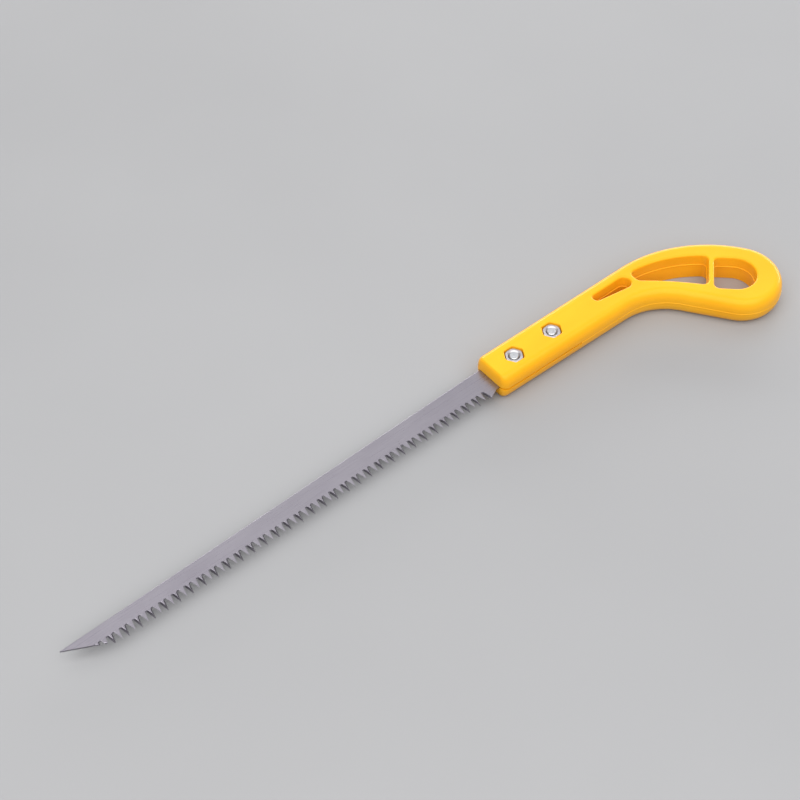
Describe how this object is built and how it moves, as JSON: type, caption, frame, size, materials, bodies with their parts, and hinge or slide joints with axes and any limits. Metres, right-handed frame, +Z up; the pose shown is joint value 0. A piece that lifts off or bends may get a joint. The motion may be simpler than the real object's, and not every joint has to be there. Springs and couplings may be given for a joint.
{
  "type": "drywall saw",
  "caption": "Drywall hand saw: a long tapered pointed steel blade with coarse teeth, bolted into the slit of a curved one-piece plastic handle with cored windows.",
  "frame": {"origin": "under the middle of the whole saw's outline, on the surface that the handle lies on", "axes": "+X towards the blade's point, +Y towards the teeth, +Z up out of the side of the handle that carries the nuts"},
  "size_m": [0.4848, 0.08, 0.018],
  "materials": {
    "handle_plastic": "semi-gloss moulded yellow",
    "blade_steel": "satin, ground along its length",
    "screw_zinc": "bright zinc plate",
    "nut_zinc": "bright zinc plate"
  },
  "bodies": {
    "root": {"handle": "handle_plastic", "blade": "blade_steel", "screw_front": "screw_zinc", "screw_rear": "screw_zinc", "nut_front": "nut_zinc", "nut_rear": "nut_zinc"}
  },
  "joints": []
}
